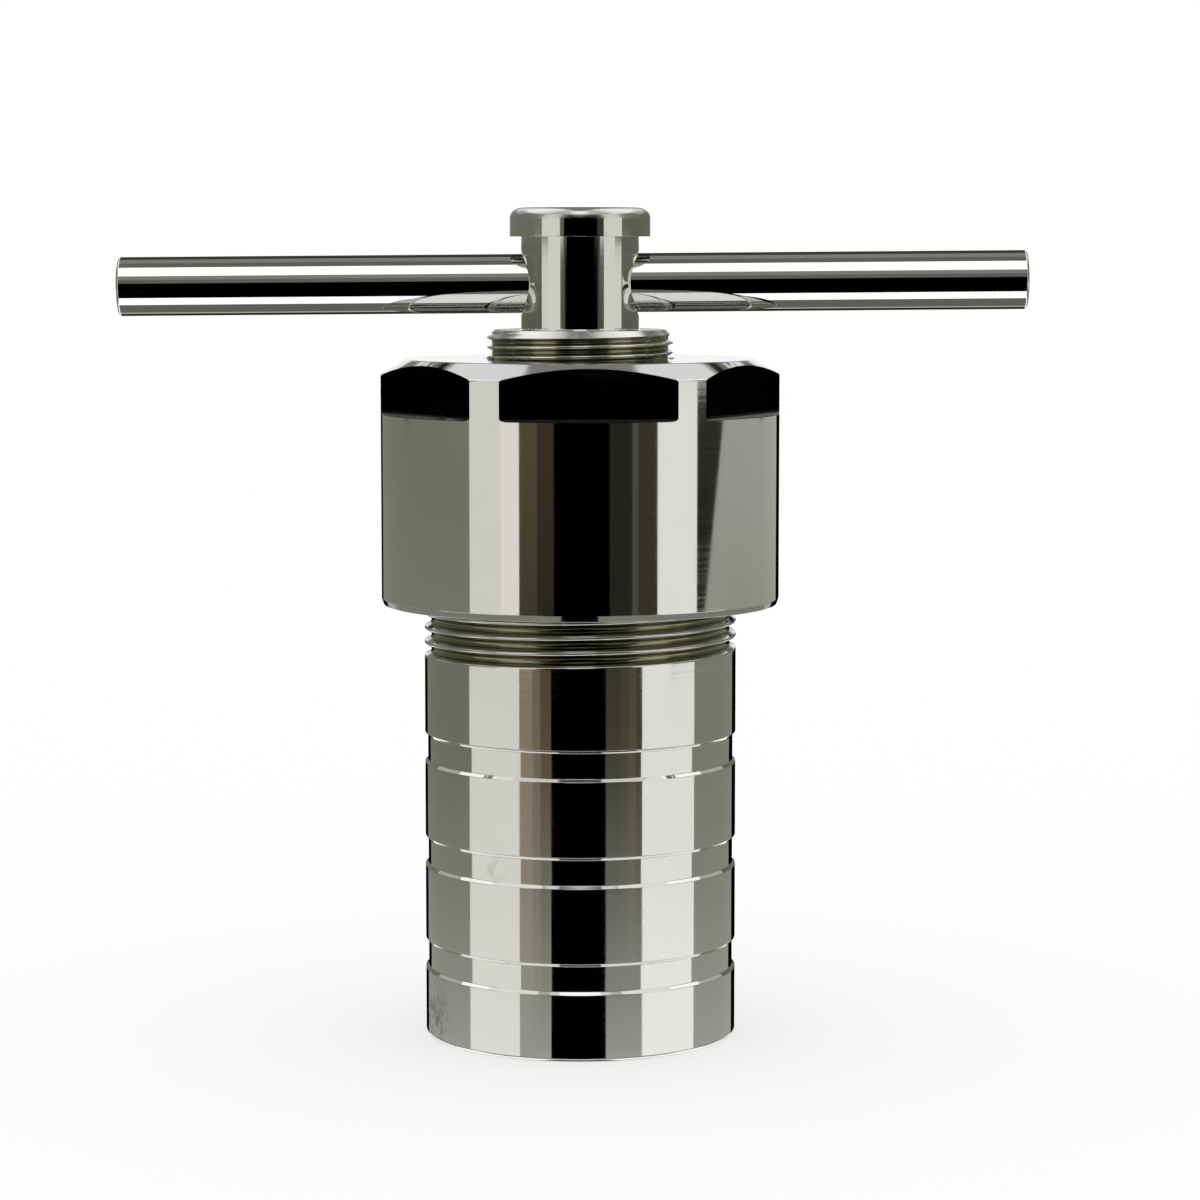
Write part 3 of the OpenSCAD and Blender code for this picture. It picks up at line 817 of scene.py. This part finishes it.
def card(name, turned, raised, top, foot, fade=None, layer=0, over=False, slant=0.0):
    """A curved card between two directions round the axis, in degrees from -Y round by +X, and
    two elevations. Its tone runs from foot to top, between the elevations of fade. Its far side
    slants by slant, in degrees round the axis at the top. A card on a higher layer stands in
    front. With over the card runs front to back instead: turned is then its half width and
    raised its angles from -Y."""
    radius = STUDIO_R - layer
    if over:
        rows = arc(-turned, turned, STRIP_STEPS, radius)
        spin_by, axis = raised[1] - raised[0], (1, 0, 0)
    else:
        rows = arc(*raised, max(2, round((raised[1] - raised[0]) / CARD_STEP)), radius)
        spin_by, axis = turned[1] - turned[0], (0, 0, -1)
    made = draw_section(name, [(x / MM, z / MM) for x, z in rows])
    pick_only(made)
    if over:        # the arc is laid across X, facing -Y, and then swung up to its first angle
        made.rotation_euler = (math.radians(-90), 0, math.radians(-90))
        bpy.ops.object.transform_apply(location=True, rotation=True, scale=True)
        made.rotation_euler = (math.radians(-raised[0]), 0, 0)
    else:
        made.rotation_euler = (0, 0, math.radians(turned[0] - 90))
    bpy.ops.object.transform_apply(location=True, rotation=True, scale=True)
    bpy.ops.object.mode_set(mode="EDIT")
    bpy.ops.mesh.select_all(action="SELECT")
    bpy.ops.mesh.spin(steps=max(1, round(spin_by / CARD_STEP)), angle=math.radians(spin_by),
                      center=(0, 0, 0), axis=axis)
    bpy.ops.object.mode_set(mode="OBJECT")
    if slant:
        slant_side(made, turned, raised, radius, slant)
    paint = new_material(name)
    tree = paint.node_tree
    place = add_node(tree, "ShaderNodeTexCoord").outputs["Object"]
    height = add_node(tree, "ShaderNodeSeparateXYZ", {"Vector": place})
    low, high = fade or (raised if not over else (0, 90))
    drop = add_node(tree, "ShaderNodeMapRange", {
        "Value": height.outputs["Z"], "From Min": radius * math.sin(math.radians(high)),
        "From Max": radius * math.sin(math.radians(low))})
    share = add_node(tree, "ShaderNodeMath", {0: drop.outputs[0], 1: FADE_POWER},
                     operation="POWER")
    colour = add_node(tree, "ShaderNodeMix", {
        "Factor": share.outputs[0], 6: srgb(top), 7: srgb(foot)}, data_type="RGBA")
    light = add_node(tree, "ShaderNodeEmission", {
        "Color": colour.outputs[2], "Strength": CARD_LIGHT})
    add_node(tree, "ShaderNodeOutputMaterial", {"Surface": light.outputs[0]})
    paint.cycles.emission_sampling = "NONE"
    made.data.materials.append(paint)
    made.visible_camera = made.visible_diffuse = made.visible_shadow = False
    made.visible_transmission = made.visible_volume_scatter = False


# The cards' tones, from darkest to lightest: felt, painted board and lit cloth
BLACK, INK, SOOT, CHARCOAL, SLATE = "000000", "22241E", "34322A", "3A382C", "494A40"
DARK_BROWN, DARK_UMBER, UMBER, BROWN, TAUPE = "373026", "423E31", "4F4736", "6C6052", "7E7462"
DIM_GREY, ASH, PEWTER, OLIVE = "5A5A57", "5E5F57", "6A6B60", "707162"
GREY, IRON, STONE, PALE, MIST = "757572", "76776D", "8A8B80", "979994", "A4A49C"
CLOTH, CREAM, LIT_CLOTH, BRIGHT_CLOTH = "CECEC7", "DBD8D1", "DEDEDA", "EAEAEA"
WHITE, FULL_WHITE = "F8F8F4", "FFFFFF"

# The ring has a tier for each part of the reactor, at the elevations that the part mirrors to
# the camera: shell, cap, screw and neck, and collar. Tiers under and over these light the slopes
# and edges. A row gives a card's name, its two directions, and its tones at top and foot.
FLOOR_TIER, GROUND, LOW, MID, HIGH, CROWN, CEILING = -60.0, -17.0, -6.3, -1.65, 0.5, 38.0, 73.0
BACK_GROUND, BACK_CROWN = -38.0, 22.0   # round the back, and in front of it the crown's sides
SHELL_FADE = (-13.2, -6.7)      # between the shell's foot and its top
for tier, fade, rows in (
        ((-88, FLOOR_TIER), None, (
            ("floor_glow", -180, 180, WHITE, WHITE),)),
        ((FLOOR_TIER, BACK_GROUND), None, (
            ("floor_left", -150, -95, WHITE, WHITE),
            ("floor_front", -95, 95, IRON, IRON),
            ("floor_right", 95, 150, WHITE, WHITE),
            ("floor_back", 150, 210, WHITE, WHITE))),
        ((BACK_GROUND, GROUND), None, (
            ("floor_ring", -150, 150, IRON, IRON),
            ("floor_ring_back", 150, 210, WHITE, WHITE))),
        ((GROUND, LOW), SHELL_FADE, (
            ("wall_back", 153, 204, BLACK, BLACK),
            ("wall_left", 204, 271, PEWTER, PALE),
            ("softbox_left", 271, 315, CLOTH, LIT_CLOTH),
            ("panel_left", 315, 325, TAUPE, PALE),
            ("panel_left_middle", 325, 331, BROWN, PALE),
            ("panel_left_dark", 331, 339, UMBER, PALE),
            ("flag_front", 339, 379, BLACK, BLACK),
            ("panel_right", 19, 30, CHARCOAL, PALE),
            ("panel_right_middle", 30, 36, DARK_UMBER, PALE),
            ("panel_right_light", 36, 42, UMBER, PALE),
            ("panel_right_edge", 42, 46.5, CHARCOAL, PALE),
            ("softbox_right", 46.5, 93, LIT_CLOTH, BRIGHT_CLOTH),
            ("wall_right", 93, 153, IRON, PALE))),
        ((LOW, MID), None, (
            ("cap_wall_back", 157, 199, BLACK, BLACK),
            ("cap_wall_left", 199, 294.5, OLIVE, IRON),
            ("cap_softbox_left", 294.5, 314.5, CLOTH, CLOTH),
            ("cap_softbox_left_edge", 314.5, 325.5, CREAM, CREAM),
            ("cap_panel_left", 325.5, 336, UMBER, SOOT),
            ("cap_panel_left_dark", 336, 345.5, DARK_BROWN, INK),
            ("cap_flag_front", 345.5, 377, BLACK, BLACK),
            ("cap_panel_right", 17, 30, INK, INK),
            ("cap_panel_light", 30, 33.5, SLATE, SLATE),
            ("cap_panel_brown", 33.5, 45, SOOT, SOOT),
            ("cap_softbox_right", 45, 70.5, LIT_CLOTH, LIT_CLOTH),
            ("cap_wall_right", 70.5, 157, PALE, STONE))),
        ((MID, HIGH), None, (
            ("neck_wall_left", 175, 280, ASH, SLATE),
            ("neck_softbox_left", 280, 321.5, CLOTH, CLOTH),
            ("neck_panel_left", 321.5, 331, SLATE, SLATE),
            ("neck_flag_front", 331, 395.5, BLACK, BLACK),
            ("neck_panel_right", 35.5, 48, SLATE, SLATE),
            ("neck_softbox_right", 48, 89, CLOTH, CLOTH),
            ("neck_wall_right", 89, 175, ASH, SLATE))),
        ((HIGH, CROWN), None, (
            ("collar_wall_left", 238, 295.5, PEWTER, PEWTER),
            ("collar_softbox_left", 295.5, 327.5, CLOTH, CLOTH),
            ("collar_panel_left", 327.5, 334, ASH, ASH),
            ("collar_flag_front", 334, 388.5, BLACK, BLACK),
            ("collar_panel_right", 28.5, 39.5, CHARCOAL, CHARCOAL),
            ("collar_softbox_right", 39.5, 72.5, CLOTH, CLOTH),
            ("collar_wall_right", 72.5, 122, OLIVE, ASH))),
        ((HIGH, BACK_CROWN), None, (
            ("collar_wall_back_left", 192, 238, PEWTER, PEWTER),
            ("collar_wall_back_right", 122, 168, ASH, ASH))),
        ((BACK_CROWN, CROWN), None, (
            ("crown_left", 210, 238, MIST, MIST),
            ("crown_right", 122, 150, MIST, MIST))),
        ((CROWN, CEILING), None, (
            ("canopy", -66, 66, MIST, MIST),
            ("canopy_left_dim", -105, -66, LIT_CLOTH, LIT_CLOTH),
            ("canopy_right_dim", 66, 105, LIT_CLOTH, LIT_CLOTH),
            ("canopy_left", -150, -105, WHITE, WHITE),
            ("canopy_right", 105, 150, WHITE, WHITE))),
        ((CEILING, 89.5), None, (
            ("ceiling", -180, 180, CLOTH, CLOTH),))):
    for name, start, end, top, foot in rows:
        card(name, (start, end), tier, top, foot, fade)

# Strips that the T-bar mirrors run from front to back, over and under the reactor.
for name, start, end, tone in (
        ("under_black", -46, -16, BLACK), ("over_black", 0, 12, BLACK),
        ("over_front_dim", 12, 26, DIM_GREY), ("over_front_grey", 26, 41, GREY),
        ("over_white", 41, 79, FULL_WHITE), ("over_dim", 79, 102, DIM_GREY),
        ("over_grey", 102, 128, GREY), ("over_dark", 128, 168, SOOT),
        ("under_white", -77, -46, FULL_WHITE), ("under_grey", -125, -77, DIM_GREY),
        ("under_line", -134, -125, MIST), ("under_dark", -165, -134, INK)):
    card(name, STRIP_HALF_W, (start, end), tone, tone, layer=STRIP_LAYER, over=True)

# A dark panel with a slanting side, and flags that keep the wrench flats dark
card("cap_panel_edge", (70.5, 73.2), (LOW, MID), INK, INK, layer=0.3, slant=20)
for name, start, end in (("flat_flag_left", 239.5, 246.5), ("flat_flag_right", 125, 131.5)):
    card(name, (start, end), (-2.36, -1.4), BLACK, BLACK, layer=1)
